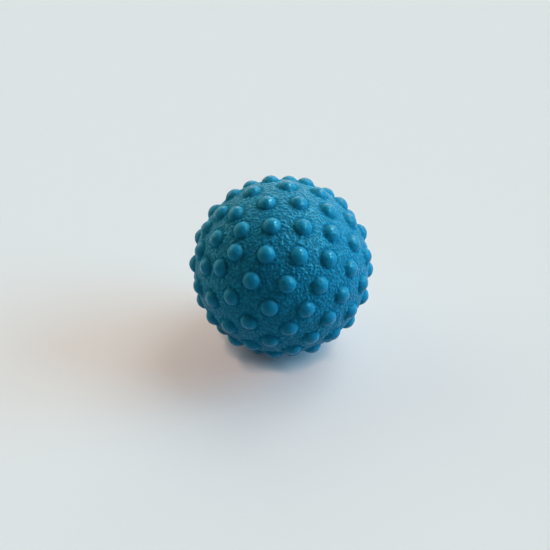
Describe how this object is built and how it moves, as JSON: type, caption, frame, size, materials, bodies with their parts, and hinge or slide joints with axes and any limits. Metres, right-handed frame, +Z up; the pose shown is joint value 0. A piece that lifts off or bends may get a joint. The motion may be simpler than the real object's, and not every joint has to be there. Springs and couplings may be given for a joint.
{
  "type": "massage ball",
  "caption": "Hollow vinyl massage ball with rounded nubs in rings over a grained skin, and a flush valve with a push-in plug at one pole.",
  "frame": {"origin": "on the floor, straight under the ball's centre, which is also the middle of its box", "axes": "+Z up, with the ball standing on three nubs as in the picture; +X to the picture's right, +Y away from its camera"},
  "size_m": [0.0698, 0.0694, 0.0684],
  "materials": {
    "skin_vinyl": "satin, leather grain between smooth nubs",
    "bush_vinyl": "satin, smooth",
    "plug_vinyl": "satin, smooth"
  },
  "bodies": {
    "ball": {"ball_skin": "skin_vinyl", "valve_bush": "bush_vinyl"},
    "plug": {"valve_plug": "plug_vinyl"}
  },
  "joints": [
    {"name": "plug_pull", "type": "slide", "parent": "ball", "child": "plug", "axis": [0.7252, 0.3078, -0.6159], "range_m": [0, 0.0105]}
  ]
}
